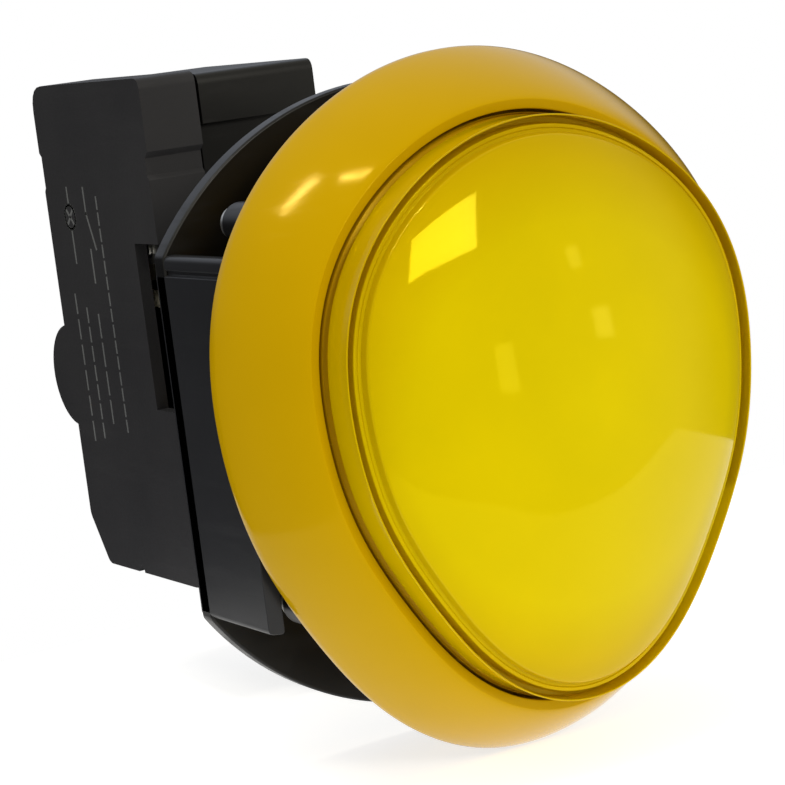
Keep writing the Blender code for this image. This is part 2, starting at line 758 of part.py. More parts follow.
def make_bulb(glass, plastic, metal):
    """A wedge-base bulb: open-necked glass, the stem and wedge that fill its neck, and a coiled filament."""
    inner = GLASS_RADIUS - GLASS_WALL
    nose = GLASS_FRONT + GLASS_RADIUS
    shoulder = GLASS_REAR - GLASS_SHOULDER
    profile = [(GLASS_NECK_INNER, GLASS_REAR), (GLASS_NECK_OUTER, GLASS_REAR), (GLASS_RADIUS, shoulder)]
    profile += arc((0, nose), GLASS_RADIUS, 0, -90, 4)
    profile += arc((0, nose), inner, -90, 0, 3)
    profile.append((inner, shoulder))
    turned("lamp_glass", (0, 0), profile, glass, sides=24, ring=True)

    stem_front = GLASS_REAR - STEM_LENGTH
    wedge_front = GLASS_REAR + GLASS_WALL
    stem = cylinder(
        "lamp_wedge", (0, 0), STEM_RADIUS, stem_front, wedge_front + OVERSHOOT, plastic, sides=20
    )
    wedge = box(
        "lamp_wedge_blade",
        (-WEDGE_HALF_WIDTH, wedge_front, -WEDGE_HALF_THICK),
        (WEDGE_HALF_WIDTH, WEDGE_REAR, WEDGE_HALF_THICK),
        plastic,
    )
    boolean(stem, wedge, "UNION")

    foot = (FILAMENT_HALF_SPAN * 0.8, stem_front - GAP)
    shoulder_x = FILAMENT_HALF_SPAN + 0.3 * MM
    coil_y = FILAMENT_Y - 2 * FILAMENT_COIL_RADIUS
    count = FILAMENT_TURNS * FILAMENT_STEPS
    points = [(-foot[0], foot[1], 0), (-shoulder_x, FILAMENT_Y, 0)]
    for i in range(count + 1):
        turn = 2 * math.pi * i / FILAMENT_STEPS
        x = FILAMENT_HALF_SPAN * (2 * i / count - 1)
        y = coil_y + FILAMENT_COIL_RADIUS * math.cos(turn)
        points.append((x, y, FILAMENT_COIL_RADIUS * math.sin(turn)))
    points += [(shoulder_x, FILAMENT_Y, 0), (foot[0], foot[1], 0)]
    wire("lamp_filament", points, FILAMENT_WIRE, metal)


def make_lamp_socket(plastic, brass):
    """The round holder that takes the wedge, and its two contacts, which run out behind as tabs."""
    socket = cylinder(
        "lamp_socket", (0, 0), LAMP_BORE - GAP, SOCKET_FRONT, LAMP_BORE_REAR - GAP, plastic, sides=28
    )
    slot = box(
        "socket_slot",
        (-SOCKET_SLOT_HALF_WIDTH, SOCKET_FRONT - OVERSHOOT, -SOCKET_SLOT_HALF_THICK),
        (SOCKET_SLOT_HALF_WIDTH, SOCKET_SLOT_REAR, SOCKET_SLOT_HALF_THICK),
        plastic,
    )
    boolean(socket, slot, "DIFFERENCE")
    bridge_rear = LAMP_BRIDGE_FRONT + TAB_THICK
    half = LAMP_TAB_HALF_WIDTH
    for side, name in ((-1, "lamp_contact_lower"), (1, "lamp_contact_upper")):
        way = box(
            f"{name}_way",
            (-half - GAP, LAMP_BRIDGE_FRONT - 3 * MM, side * (SOCKET_SLOT_HALF_THICK - 2 * GAP)),
            (half + GAP, LAMP_BORE_REAR + OVERSHOOT, side * (LAMP_TAB_OUTER + GAP)),
            plastic,
        )
        boolean(socket, way, "DIFFERENCE")
        contact = box(
            name,
            (-half, LAMP_CONTACT_FRONT, side * LAMP_CONTACT_INNER),
            (half, bridge_rear - SEAM_STEP, side * LAMP_CONTACT_OUTER),
            brass,
        )
        across = box(
            f"{name}_bridge",
            (-half, LAMP_BRIDGE_FRONT, side * (LAMP_CONTACT_INNER + SEAM_STEP)),
            (half, bridge_rear, side * (LAMP_TAB_OUTER - SEAM_STEP)),
            brass,
        )
        tab = box(
            f"{name}_tab",
            (-half, LAMP_BRIDGE_FRONT + SEAM_STEP, side * LAMP_TAB_INNER),
            (half, TAB_REAR, side * LAMP_TAB_OUTER),
            brass,
        )
        boolean(contact, across, "UNION")
        boolean(contact, tab, "UNION")


def make_lever(steel):
    """The lever that the plunger's leg pushes, and the axle that it turns on."""
    pivot = (LEVER_PIVOT_Y, LEVER_PIVOT_Z)
    cross_cylinder("lever_axle", pivot, AXLE_RADIUS, BLOCK_LEFT + BLOCK_WALL + GAP, BLOCK_SEAM - GAP, steel)
    lever = box(
        "switch_lever",
        (SWITCH_LEFT, LEVER_FACE, LEVER_END_Z),
        (SWITCH_RIGHT, LEVER_FACE + LEVER_THICK, LEVER_PIVOT_Z),
        steel,
    )
    eye = cross_cylinder("lever_eye", pivot, LEVER_EYE_RADIUS, SWITCH_LEFT, SWITCH_RIGHT, steel)
    boolean(lever, eye, "UNION")
    eye_hole = cross_cylinder(
        "lever_eye_hole", pivot, AXLE_RADIUS + AXLE_PLAY,
        SWITCH_LEFT - OVERSHOOT, SWITCH_RIGHT + OVERSHOOT, steel,
    )
    boolean(lever, eye_hole, "DIFFERENCE")


def make_terminal(name, tab_z, plate_front, low, high, brass):
    """A plate across the switch, a riser to the tab's height, and the tab out through the block's rear."""
    plate_rear = plate_front + TAB_THICK
    tab_low = tab_z - TAB_THICK / 2
    tab_high = tab_z + TAB_THICK / 2
    plate = box(name, (SWITCH_LEFT, plate_front, low), (TAB_RIGHT, plate_rear, high), brass)
    riser = box(
        f"{name}_riser",
        (TAB_LEFT, plate_front, min(low, tab_low)),
        (TAB_RIGHT, plate_rear, max(high, tab_high)),
        brass,
    )
    tab = box(
        f"{name}_tab",
        (TAB_LEFT, (plate_front + plate_rear) / 2, tab_low),
        (TAB_RIGHT, TAB_REAR, tab_high),
        brass,
    )
    boolean(plate, riser, "UNION")
    boolean(plate, tab, "UNION")


def make_switch(brass, silver, plastic):
    """The pin, spring blade, fixed contacts and terminals of the snap switch."""
    pin_front = LEVER_FACE + LEVER_THICK + GAP
    blade_rear = BLADE_Y + BLADE_THICK
    cylinder(
        "switch_pin", (SWITCH_MIDDLE, PIN_Z), PIN_RADIUS, pin_front, BLADE_Y - GAP, plastic, sides=16
    )
    blade = box(
        "switch_blade", (SWITCH_LEFT, BLADE_Y, BLADE_END_Z), (SWITCH_RIGHT, blade_rear, BLADE_PIVOT_Z), brass
    )
    tip = cylinder(
        "blade_tip", (SWITCH_MIDDLE, CONTACT_Z), BLADE_TIP_RADIUS,
        BLADE_Y - CONTACT_STANDS, blade_rear + CONTACT_STANDS, silver, sides=12,
    )
    boolean(blade, tip, "UNION")

    closed_rear = BLADE_Y - CONTACT_STANDS - GAP
    closed_front = closed_rear - CONTACT_HEIGHT
    open_front = blade_rear + CONTACT_STANDS + CONTACT_OPENING
    open_rear = open_front + CONTACT_HEIGHT
    place = (SWITCH_MIDDLE, CONTACT_Z)
    cylinder("closed_contact", place, CONTACT_RADIUS, closed_front, closed_rear, silver, sides=12)
    cylinder("open_contact", place, CONTACT_RADIUS, open_front, open_rear, silver, sides=12)

    low = CONTACT_Z - PLATE_HALF_HEIGHT
    high = CONTACT_Z + PLATE_HALF_HEIGHT
    closed_plate = closed_front - GAP - TAB_THICK
    make_terminal("closed_terminal", TAB_HEIGHTS["closed"], closed_plate, low, high, brass)
    make_terminal("open_terminal", TAB_HEIGHTS["open"], open_rear + GAP, low, high, brass)
    root_low = BLADE_PIVOT_Z - ROOT_BELOW
    root_high = BLADE_PIVOT_Z + ROOT_ABOVE
    make_terminal("common_terminal", TAB_HEIGHTS["common"], blade_rear + GAP, root_low, root_high, brass)


def main():
    yellow_shell = material("yellow_gloss_plastic", (0.72, 0.50, 0.0), 0.12)
    yellow_plunger = material("yellow_inner_plastic", (0.55, 0.36, 0.01), 0.35)
    yellow_lens = material("yellow_lens_plastic", (0.85, 0.68, 0.0), 0.06, alpha=0.8, transmission=0.6)
    white_diffuser = material("white_diffuser_plastic", (0.85, 0.84, 0.78), 0.5, transmission=0.3)
    black_body = material("black_gloss_plastic", (0.022, 0.023, 0.026), 0.22)
    dark_cover = material("dark_satin_plastic", (0.036, 0.036, 0.04), 0.45)
    gasket_rubber = material("gasket_rubber", (0.02, 0.02, 0.02), 0.8)
    steel = material("zinc_steel", (0.62, 0.62, 0.6), 0.32, metallic=1.0)
    spring_steel = material("spring_steel", (0.5, 0.5, 0.5), 0.28, metallic=1.0)
    brass = material("tinned_brass", (0.75, 0.66, 0.45), 0.3, metallic=1.0)
    silver = material("silver_contact", (0.86, 0.85, 0.83), 0.25, metallic=1.0)
    glass = material("lamp_glass", (0.95, 0.96, 0.95), 0.03, alpha=0.35, transmission=1.0)
    cream = material("cream_nylon", (0.78, 0.74, 0.62), 0.45)

    make_bezel(yellow_shell)
    make_gasket(gasket_rubber)
    make_frame(black_body)
    make_screws(steel)
    make_plunger(yellow_plunger)
    make_lens(yellow_lens)
    make_diffuser(white_diffuser)
    make_springs(spring_steel)
    make_block_cover(dark_cover)
    make_block_base(black_body)
    make_bulb(glass, cream, spring_steel)
    make_lamp_socket(cream, brass)
    make_lever(steel)
    make_switch(brass, silver, cream)


main()
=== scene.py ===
"""Looks of the quiz buzzer: fine meshes, moulded-plastic and metal materials, studio, and camera.

Lengths are in metres, in the row frame. The origin is on the button's axis, in the plane of the bezel's rear
rim; +Y runs to the rear and +Z up. Offsets are measured outwards from the face outline.
"""

import math

import bmesh
import bpy
from mathutils import Matrix, Vector


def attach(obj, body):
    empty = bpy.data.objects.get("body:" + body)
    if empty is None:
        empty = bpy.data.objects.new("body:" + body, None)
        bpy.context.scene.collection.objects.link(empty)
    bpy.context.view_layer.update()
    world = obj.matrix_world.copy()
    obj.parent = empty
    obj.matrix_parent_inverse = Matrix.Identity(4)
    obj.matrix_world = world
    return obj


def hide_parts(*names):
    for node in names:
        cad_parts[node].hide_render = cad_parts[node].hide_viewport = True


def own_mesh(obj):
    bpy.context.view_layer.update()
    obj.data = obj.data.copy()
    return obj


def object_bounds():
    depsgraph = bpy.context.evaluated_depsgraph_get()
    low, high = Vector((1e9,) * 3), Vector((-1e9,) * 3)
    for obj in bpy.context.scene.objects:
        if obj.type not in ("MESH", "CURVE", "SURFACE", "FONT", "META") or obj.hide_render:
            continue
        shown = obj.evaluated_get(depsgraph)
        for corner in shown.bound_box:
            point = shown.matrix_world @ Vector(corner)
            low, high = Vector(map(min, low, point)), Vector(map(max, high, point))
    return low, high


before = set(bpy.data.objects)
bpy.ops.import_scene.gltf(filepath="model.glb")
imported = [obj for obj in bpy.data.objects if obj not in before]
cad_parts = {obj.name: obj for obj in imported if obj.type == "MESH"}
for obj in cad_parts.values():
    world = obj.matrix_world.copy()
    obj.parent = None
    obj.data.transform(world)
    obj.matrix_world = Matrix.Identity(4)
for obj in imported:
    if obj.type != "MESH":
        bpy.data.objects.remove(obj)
CAD_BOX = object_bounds()
MM = 0.001


# ---------------------------------------------------------------- outlines and profiles

FACE_RADIUS = 21.6 * MM
FACE_HARMONICS = {2: 0.106, 3: 0.048, 4: 0.018, 5: 0.010, 6: 0.008}
FACE_RISE = 1.2 * MM
FACE_SIDES = 288


def face_point(turn, offset=0.0, scale=1.0):
    """(x, z) on the face outline, moved outwards by offset and then scaled about its middle."""
    def polar(angle):
        radius = FACE_RADIUS * (1 + sum(h * math.cos(k * angle) for k, h in FACE_HARMONICS.items()))
        return Vector((radius * math.sin(angle), -radius * math.cos(angle)))

    step = 0.001
    along = polar(turn + step) - polar(turn - step)
    outward = Vector((along.y, -along.x)).normalized()
    place = (polar(turn) + outward * offset) * scale
    return place.x, place.y + FACE_RISE


def face_ring(offset, y, scale=1.0):
    turns = [2 * math.pi * i / FACE_SIDES for i in range(FACE_SIDES)]
    return [(x, y, z) for x, z in (face_point(turn, offset, scale) for turn in turns)]


def round_ring(radius, y):
    turns = [2 * math.pi * i / FACE_SIDES for i in range(FACE_SIDES)]
    return [(radius * math.sin(turn), y, -radius * math.cos(turn)) for turn in turns]


def rounded(corners, steps=5, closed=True):
    """An outline from (a, b, radius) corners, each rounded over by its radius."""
    outline = []
    count = len(corners)
    for i, (a, b, radius) in enumerate(corners):
        here = Vector((a, b))
        if radius <= 0 or (not closed and i in (0, count - 1)):
            outline.append((a, b))
            continue
        before = Vector(corners[i - 1][:2]) - here
        after = Vector(corners[(i + 1) % count][:2]) - here
        half = before.angle(after) / 2
        reach = min(radius / math.tan(half), 0.49 * before.length, 0.49 * after.length)
        start = here + before.normalized() * reach
        end = here + after.normalized() * reach
        for k in range(steps + 1):
            t = k / steps
            spot = start * (1 - t) ** 2 + here * 2 * t * (1 - t) + end * t ** 2
            outline.append((spot.x, spot.y))
    return outline


def arc(centre, radius, start, end, steps):
    """Points on an arc, with angles in degrees from the first axis towards the second."""
    turns = [math.radians(start + (end - start) * i / steps) for i in range(steps + 1)]
    return [(centre[0] + radius * math.cos(t), centre[1] + radius * math.sin(t)) for t in turns]


# ---------------------------------------------------------------- mesh making

def bridge(work, near, far):
    for i in range(len(near)):
        j = (i + 1) % len(near)
        work.faces.new((near[i], near[j], far[j], far[i]))


def mesh_of(name, build):
    work = bmesh.new()
    build(work)
    bmesh.ops.recalc_face_normals(work, faces=work.faces)
    mesh = bpy.data.meshes.new(name)
    work.to_mesh(mesh)
    work.free()
    return mesh


def new_object(name, mesh):
    made = bpy.data.objects.new(name, mesh)
    bpy.context.scene.collection.objects.link(made)
    return made


def loft(name, rings, closed=True):
    """A skin through rings of points. Closed, it joins its last ring to its first; open, it has flat ends."""
    def build(work):
        rows = [[work.verts.new(point) for point in ring] for ring in rings]
        for near, far in zip(rows, rows[1:] + (rows[:1] if closed else [])):
            bridge(work, near, far)
        if not closed:
            work.faces.new(rows[0])
            work.faces.new(rows[-1])

    return new_object(name, mesh_of(name, build))


def face_loft(name, profile, closed=True):
    """A loft along the face outline, from a profile of (offset, y)."""
    return loft(name, [face_ring(offset, y) for offset, y in profile], closed)


def turned(name, profile, centre=(0, 0), sides=96, axis="Y", closed=True):
    """A shape turned about an axis along Y or X, from a profile of (radius, place along the axis)."""
    rings = []
    for radius, along in profile:
        ring = []
        for i in range(sides):
            turn = 2 * math.pi * i / sides
            across = radius * math.sin(turn)
            up = radius * math.cos(turn)
            if axis == "Y":
                ring.append((centre[0] + across, along, centre[1] + up))
            else:
                ring.append((along, centre[0] + across, centre[1] + up))
        rings.append(ring)
    return loft(name, rings, closed)


def prism(name, outline, low, high, plane="YZ"):
    """An outline extruded along the axis that its plane leaves out."""
    def spot(a, b, along):
        return (along, a, b) if plane == "YZ" else (a, along, b)

    def build(work):
        near = [work.verts.new(spot(a, b, low)) for a, b in outline]
        far = [work.verts.new(spot(a, b, high)) for a, b in outline]
        work.faces.new(near)
        work.faces.new(far)
        bridge(work, near, far)

    return new_object(name, mesh_of(name, build))


def box(name, low, high):
    outline = [(low[1], low[2]), (high[1], low[2]), (high[1], high[2]), (low[1], high[2])]
    return prism(name, outline, low[0], high[0])


def applied(made):
    """Bakes an object's modifiers into its mesh."""
    graph = bpy.context.evaluated_depsgraph_get()
    mesh = bpy.data.meshes.new_from_object(made.evaluated_get(graph))
    made.modifiers.clear()
    made.data = mesh
    return made


def combined(target, tool, operation):
    """Cuts or joins the tool into the target, and removes the tool."""
    step = target.modifiers.new("combine", "BOOLEAN")
    step.operation = operation
    step.object = tool
    bpy.context.view_layer.update()
    applied(target)
    bpy.data.objects.remove(tool)
    return target


def cut(target, *tools):
    for tool in tools:
        combined(target, tool, "DIFFERENCE")
    return target


def joined(name, parts):
    """Several objects as one, with their surfaces left as they are."""
    work = bmesh.new()
    for part in parts:
        work.from_mesh(part.data)
        bpy.data.objects.remove(part)
    mesh = bpy.data.meshes.new(name)
    work.to_mesh(mesh)
    work.free()
    return new_object(name, mesh)


def softened(made, width, segments=3, angle=35):
    """Rounds the sharp edges over."""
    step = made.modifiers.new("rounding", "BEVEL")
    step.width = width
    step.segments = segments
    step.limit_method = "ANGLE"
    step.angle_limit = math.radians(angle)
    bpy.context.view_layer.update()
    return applied(made)


def finished(made, body, finish, replaces=(), angle=40):
    """Shades a piece, gives it its material, and mounts it on its body."""
    made.data.shade_smooth()
    made.data.set_sharp_from_angle(angle=math.radians(angle))
    flatten = made.modifiers.new("flat_faces_stay_flat", "WEIGHTED_NORMAL")
    flatten.keep_sharp = True
    applied(made)
    made.data.materials.clear()
    made.data.materials.append(finish)
    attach(made, body)
    if replaces:
        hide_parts(*replaces)
    return made


# ---------------------------------------------------------------- materials

class Nodes:
    """A material's node tree, with its Principled shader."""

    def __init__(self, name):
        self.material = bpy.data.materials.new(name)
        self.material.use_nodes = True
        self.tree = self.material.node_tree
        self.shader = self.tree.nodes["Principled BSDF"]
        self.place = self.add("ShaderNodeTexCoord").outputs["Object"]

    def add(self, kind, **values):
        node = self.tree.nodes.new(kind)
        for key, value in values.items():
            setattr(node, key, value)
        return node

    def link(self, source, target):
        self.tree.links.new(source, target)

    def set(self, **values):
        for key, value in values.items():
            self.shader.inputs[key.replace("_", " ")].default_value = value
        return self

    def noise(self, scale, detail=4.0, roughness=0.55, stretch=None):
        node = self.add("ShaderNodeTexNoise")
        node.inputs["Scale"].default_value = scale
        node.inputs["Detail"].default_value = detail
        node.inputs["Roughness"].default_value = roughness
        source = self.place
        if stretch:
            mapping = self.add("ShaderNodeMapping")
            mapping.inputs["Scale"].default_value = stretch
            self.link(source, mapping.inputs["Vector"])
            source = mapping.outputs["Vector"]
        self.link(source, node.inputs["Vector"])
        return node.outputs["Fac"]

    def ramp(self, source, stops):
        """A colour ramp from (position, colour) stops."""
        node = self.add("ShaderNodeValToRGB")
        elements = node.color_ramp.elements
        while len(elements) < len(stops):
            elements.new(0.5)
        for element, (position, colour) in zip(elements, stops):
            element.position = position
            element.color = (*colour, 1.0)
        self.link(source, node.inputs["Fac"])
        return node.outputs["Color"]

    def spread(self, source, low, high, start=0.3, end=0.7):
        """A number from low to high as the source goes from start to end."""
        node = self.add("ShaderNodeMapRange")
        for key, value in (("From Min", start), ("From Max", end), ("To Min", low), ("To Max", high)):
            node.inputs[key].default_value = value
        self.link(source, node.inputs["Value"])
        return node.outputs["Result"]

    def product(self, first, second):
        node = self.add("ShaderNodeMix", data_type="RGBA", blend_type="MULTIPLY")
        node.inputs["Factor"].default_value = 1.0
        self.link(first, node.inputs[6])
        self.link(second, node.inputs[7])
        return node.outputs[2]

    def bump(self, source, strength, distance=0.0002, under=None):
        node = self.add("ShaderNodeBump")
        node.inputs["Strength"].default_value = strength
        node.inputs["Distance"].default_value = distance
        self.link(source, node.inputs["Height"])
        if under:
            self.link(under, node.inputs["Normal"])
        self.link(node.outputs["Normal"], self.shader.inputs["Normal"])
        return node.outputs["Normal"]

    def colour(self, source):
        self.link(source, self.shader.inputs["Base Color"])

    def rough(self, source):
        self.link(source, self.shader.inputs["Roughness"])


def plastic(name, dark, light, rough, tint=(1.0, 1.0, 1.0), level=0.5, grain=900.0, grain_bump=0.05,
            scuffs=0.25):
    """Moulded plastic: faint flow marks in its colour, a fine grain, and scuffs that show in its gloss."""
    look = Nodes(name)
    look.colour(look.ramp(look.noise(45.0, 3.0), [(0.3, dark), (0.7, light)]))
    scuff = look.noise(130.0, 6.0, 0.7, stretch=(1.0, 0.25, 4.0))
    look.rough(look.spread(scuff, rough, rough + scuffs, 0.52, 0.85))
    orange_peel = look.bump(look.noise(160.0, 2.0), grain_bump * 0.6, 0.0004)
    look.bump(look.noise(grain, 2.0), grain_bump, 0.00008, under=orange_peel)
    look.set(IOR=1.5, Specular_Tint=(*tint, 1.0), Specular_IOR_Level=level)
    return look.material


def metal(name, dark, light, rough, stretch=(1.0, 1.0, 1.0)):
    """Plated or drawn metal: cloudy colour, fine drawn lines and dull spots."""
    look = Nodes(name)
    look.colour(look.ramp(look.noise(220.0, 5.0), [(0.3, dark), (0.7, light)]))
    lines = look.noise(600.0, 3.0, 0.6, stretch)
    look.rough(look.spread(lines, rough, rough + 0.25))
    look.bump(lines, 0.12, 0.00005)
    look.set(Metallic=1.0)
    return look.material


AMBER = (1.0, 0.70, 0.06)
BEZEL_YELLOW = plastic("bezel_yellow", (0.52, 0.315, 0.0), (0.56, 0.34, 0.0), 0.1, AMBER,
                       level=0.3, grain_bump=0.02)
INNER_YELLOW = plastic("inner_yellow", (0.52, 0.29, 0.0), (0.58, 0.33, 0.0), 0.2, AMBER)
BODY_BLACK = plastic("body_black", (0.016, 0.017, 0.020), (0.022, 0.023, 0.027), 0.3, level=0.2)
# Painted shade: a much darker copy of the black plastic, for the plate, flange, ears, spring posts and block
# base, which sit in shade
PAINTED_SHADE_BLACK = plastic("painted_shade_black", (0.003, 0.003, 0.003), (0.006, 0.006, 0.006), 0.35, level=0.3)
COVER_DARK = plastic("cover_dark", (0.022, 0.022, 0.025), (0.031, 0.031, 0.034), 0.5,
                     level=0.15, grain=1400.0, grain_bump=0.2)
RUBBER = plastic("gasket_rubber", (0.012, 0.012, 0.012), (0.022, 0.022, 0.022), 0.75)
CREAM = plastic("cream_nylon", (0.60, 0.55, 0.42), (0.68, 0.63, 0.50), 0.42)
STEEL = metal("zinc_steel", (0.52, 0.52, 0.50), (0.68, 0.68, 0.66), 0.25)
SPRING = metal("spring_steel", (0.42, 0.42, 0.42), (0.56, 0.56, 0.56), 0.22)
BRASS = metal("terminal_brass", (0.62, 0.54, 0.36), (0.78, 0.70, 0.52), 0.26, stretch=(1.0, 0.1, 1.0))
SILVER = metal("silver_contact", (0.74, 0.73, 0.70), (0.88, 0.87, 0.85), 0.3)
INK = plastic("mark_ink", (0.09, 0.095, 0.10), (0.13, 0.135, 0.14), 0.6)


def radial_share(look):
    """How far out a point lies from the face's middle, from 0 to about 1 at the rim."""
    place = look.add("ShaderNodeSeparateXYZ")
    look.link(look.place, place.inputs["Vector"])
    flat = look.add("ShaderNodeCombineXYZ")
    look.link(place.outputs["X"], flat.inputs["X"])
    look.link(place.outputs["Z"], flat.inputs["Y"])
    length = look.add("ShaderNodeVectorMath", operation="LENGTH")
    look.link(flat.outputs["Vector"], length.inputs[0])
    return look.spread(length.outputs["Value"], 0.0, 1.0, 0.0, 0.024)


def lens_material():
    """Tinted acrylic: clear yellow in the middle, amber at the rim, where light runs through more of it."""
    look = Nodes("lens_yellow")
    share = radial_share(look)
    tint = look.ramp(share, [(0.0, (0.96, 0.79, 0.0)), (0.7, (0.92, 0.73, 0.0)), (1.0, (0.78, 0.53, 0.0))])
    cloud = look.ramp(look.noise(60.0, 2.0), [(0.35, (0.94, 0.94, 0.94)), (0.65, (1.0, 1.0, 1.0))])
    look.colour(look.product(tint, cloud))
    scratch = look.noise(420.0, 3.0, 0.6, stretch=(6.0, 1.0, 0.5))
    look.rough(look.spread(scratch, 0.05, 0.22, 0.68, 0.85))
    look.bump(look.noise(90.0, 2.0), 0.02, 0.0004)
    look.set(IOR=1.49, Transmission_Weight=0.35, Specular_Tint=(1.0, 0.88, 0.02, 1.0))
    return look.material


def glass_material():
    look = Nodes("bulb_glass")
    look.rough(look.spread(look.noise(300.0), 0.02, 0.08))
    look.colour(look.ramp(look.noise(80.0), [(0.3, (0.92, 0.94, 0.93)), (0.7, (0.98, 0.99, 0.98))]))
    look.set(IOR=1.5, Transmission_Weight=1.0)
    return look.material


def diffuser_material():
    look = Nodes("diffuser_white")
    look.colour(look.ramp(look.noise(150.0), [(0.3, (0.80, 0.78, 0.68)), (0.7, (0.88, 0.86, 0.78))]))
    look.rough(look.spread(look.noise(700.0), 0.4, 0.6))
    look.bump(look.noise(1200.0), 0.2, 0.0001)
    return look.material


LENS_YELLOW = lens_material()
BULB_GLASS = glass_material()
DIFFUSER_WHITE = diffuser_material()


# ---------------------------------------------------------------- front: bezel, lens, plunger, gasket

BEZEL_BORE = 2.1 * MM
COLLAR_OUTER = 3.2 * MM
COLLAR_REAR = 7.0 * MM
GASKET_INNER = 3.8 * MM
GASKET_OUTER = 7.2 * MM
GASKET_FLOOR = -0.9 * MM


def make_bezel():
    """A swelling slope from a crisp lip to the rear rim, then the gasket's groove and the collar."""
    lip, outer, front, edge = 2.96 * MM, 8.07 * MM, -9.1 * MM, 0.3 * MM
    swell = 1.22
    steps = 36
    profile = rounded([
        (COLLAR_OUTER, COLLAR_REAR, 0.3 * MM),
        (BEZEL_BORE, COLLAR_REAR, 0.3 * MM),
        (BEZEL_BORE, front + 0.1 * MM, 0.15 * MM),
        (lip, front, 0.15 * MM),
        (lip + 0.5 * MM, front + 0.25 * MM, 0),
    ], steps=4, closed=False)[1:-1]
    for i in range(1, steps + 1):
        turn = math.pi / 2 * i / steps
        across = math.sin(turn) ** (2 / swell)
        forward = max(math.cos(turn), 0.0) ** (2 / swell)
        offset = lip + (outer - lip) * across
        if offset > profile[-1][0] + 0.1 * MM:
            profile.append((offset, -edge + (front + edge) * forward))
    profile += [(outer - 0.1 * MM, -0.09 * MM), (outer - edge, 0.0)]
    profile += [(GASKET_OUTER, 0.0), (GASKET_OUTER, GASKET_FLOOR)]
    profile += [(GASKET_INNER, GASKET_FLOOR), (GASKET_INNER, 0.0)]
    profile += [(COLLAR_OUTER, 0.0), (COLLAR_OUTER, 6.7 * MM)]
    bezel = face_loft("bezel_shell", profile)
    return finished(bezel, "housing", BEZEL_YELLOW, ["bezel"], angle=35)


def dome(scale):
    """The share of the dome's height at a share of the way from its middle to its edge."""
    return (1 - scale ** 2.4) ** 0.8


LENS_EDGE = -13.05 * MM
LENS_DOME = 4.0 * MM
LENS_WALL = 1.8 * MM
RING_FRONT = -12.7 * MM
SHELF_FRONT = -12.35 * MM
GROOVE_FLOOR = -10.7 * MM
LENS_REAR = -9.4 * MM
RING_OUTER = 1.60 * MM
SKIRT_OUTER = -0.4 * MM
SKIRT_INNER = -1.6 * MM
SKIRT_REAR = -8.0 * MM
OUTER_SCALES = (0.993, 0.988, 0.98, 0.96, 0.93, 0.9, 0.86, 0.8,
                0.73, 0.65, 0.56, 0.46, 0.35, 0.24, 0.14, 0.06)
INNER_SCALES = (0.06, 0.24, 0.4, 0.55, 0.68, 0.78, 0.86, 0.9)


def make_lens():
    """A domed cap that steps down to a shelf, a deep groove and an outer ring, and is hollow behind."""
    rim = rounded([
        (SKIRT_OUTER, SKIRT_REAR, 0),
        (SKIRT_OUTER, LENS_REAR, 0.1 * MM),
        (RING_OUTER, LENS_REAR, 0.12 * MM),
        (RING_OUTER, RING_FRONT, 0.14 * MM),
        (1.44 * MM, RING_FRONT + 0.02 * MM, 0.08 * MM),
        (1.42 * MM, GROOVE_FLOOR, 0.15 * MM),
        (0.80 * MM, GROOVE_FLOOR, 0.15 * MM),
        (0.75 * MM, SHELF_FRONT, 0.12 * MM),
        (0.42 * MM, SHELF_FRONT, 0.04 * MM),
        (0.38 * MM, SHELF_FRONT + 0.12 * MM, 0.03 * MM),
        (0.30 * MM, SHELF_FRONT, 0.04 * MM),
        (0.04 * MM, SHELF_FRONT, 0.08 * MM),
        (-0.08 * MM, LENS_EDGE + 0.05 * MM, 0),
    ], steps=4, closed=False)
    rings = [face_ring(offset, y) for offset, y in rim]
    rings += [face_ring(0.0, LENS_EDGE - LENS_DOME * dome(scale), scale) for scale in OUTER_SCALES]
    outer_last = len(rings) - 1
    inside = LENS_EDGE + LENS_WALL
    rings += [face_ring(0.0, inside - LENS_DOME * dome(scale), scale) for scale in INNER_SCALES]
    rings += [face_ring(SKIRT_INNER, LENS_EDGE + 2.1 * MM), face_ring(SKIRT_INNER, SKIRT_REAR)]

    def build(work):
        rows = [[work.verts.new(point) for point in ring] for ring in rings]
        for i, row in enumerate(rows):
            if i != outer_last:
                bridge(work, row, rows[(i + 1) % len(rows)])
        for row in (rows[outer_last], rows[outer_last + 1]):
            hub = work.verts.new(sum((vert.co for vert in row), Vector()) / len(row))
            for i in range(len(row)):
                work.faces.new((row[i], row[(i + 1) % len(row)], hub))

    lens = new_object("lens_cap", mesh_of("lens_cap", build))
    return finished(lens, "button", LENS_YELLOW, ["lens"], angle=38)


CUP_FRONT = -9.35 * MM
CUP_RIDGE = 1.82 * MM
CUP_WALL = 1.5 * MM
CUP_INNER = -0.1 * MM
CUP_FLANGE = 2.9 * MM
FLOOR_FRONT = 2.4 * MM
FLOOR_REAR = 4.0 * MM
LEG_INNER = 9.5 * MM
LEG_OUTER = 12.0 * MM
LEG_LOW = -3.6 * MM
LEG_HIGH = -1.3 * MM
LEG_REARS = ((-1, 40.9 * MM), (1, 20.5 * MM))
LEG_WAY_INNER = 9.1 * MM
LEG_WAY_OUTER = 12.6 * MM
LEG_WAY_LOW = -4.2 * MM
LEG_WAY_HIGH = -0.7 * MM


def leg_way(side, front, rear):
    """A cutter that leaves a leg room to slide past, on the left (-1) or the right (1)."""
    low_x, high_x = sorted((side * LEG_WAY_INNER, side * LEG_WAY_OUTER))
    return box(f"leg_way_{side}", (low_x, front, LEG_WAY_LOW), (high_x, rear, LEG_WAY_HIGH))


